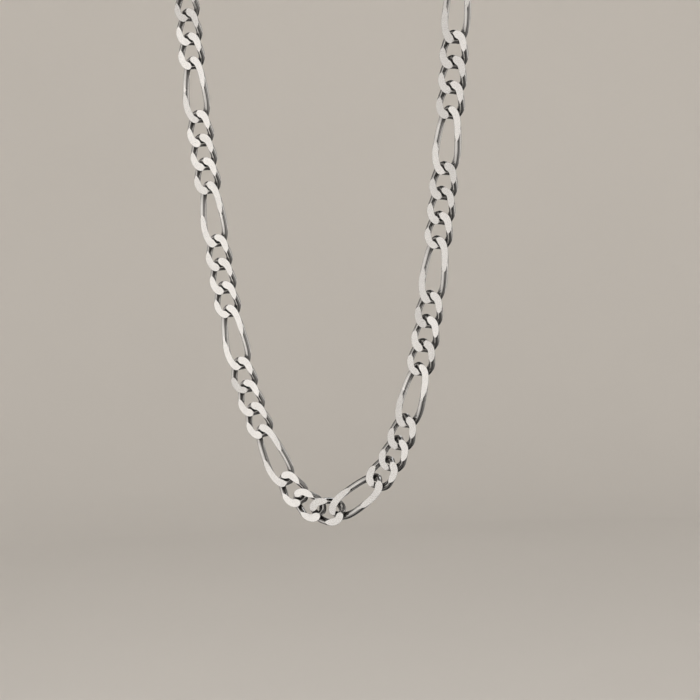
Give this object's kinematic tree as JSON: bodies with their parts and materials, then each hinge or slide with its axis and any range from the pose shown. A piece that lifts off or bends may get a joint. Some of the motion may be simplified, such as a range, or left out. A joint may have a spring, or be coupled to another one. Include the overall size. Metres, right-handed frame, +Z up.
{
  "type": "figaro chain necklace",
  "caption": "Silver figaro necklace chain, one long link then three short ones, twisted and ground flat, closed by a plain clasp with jump rings.",
  "frame": {"origin": "middle of the chain's back, where it rests on the nape", "axes": "+Z up, -Y towards the front of the wearer, where the chain hangs free, +X to the viewer's right"},
  "size_m": [0.1067, 0.0899, 0.1838],
  "materials": {
    "links": "polished silver with fine-ground flat faces",
    "fastening": "polished silver"
  },
  "bodies": {
    "root": {"chain_left": "links", "chain_right": "links", "clasp": "fastening", "clasp_ring": "fastening", "end_ring": "fastening"}
  },
  "joints": []
}
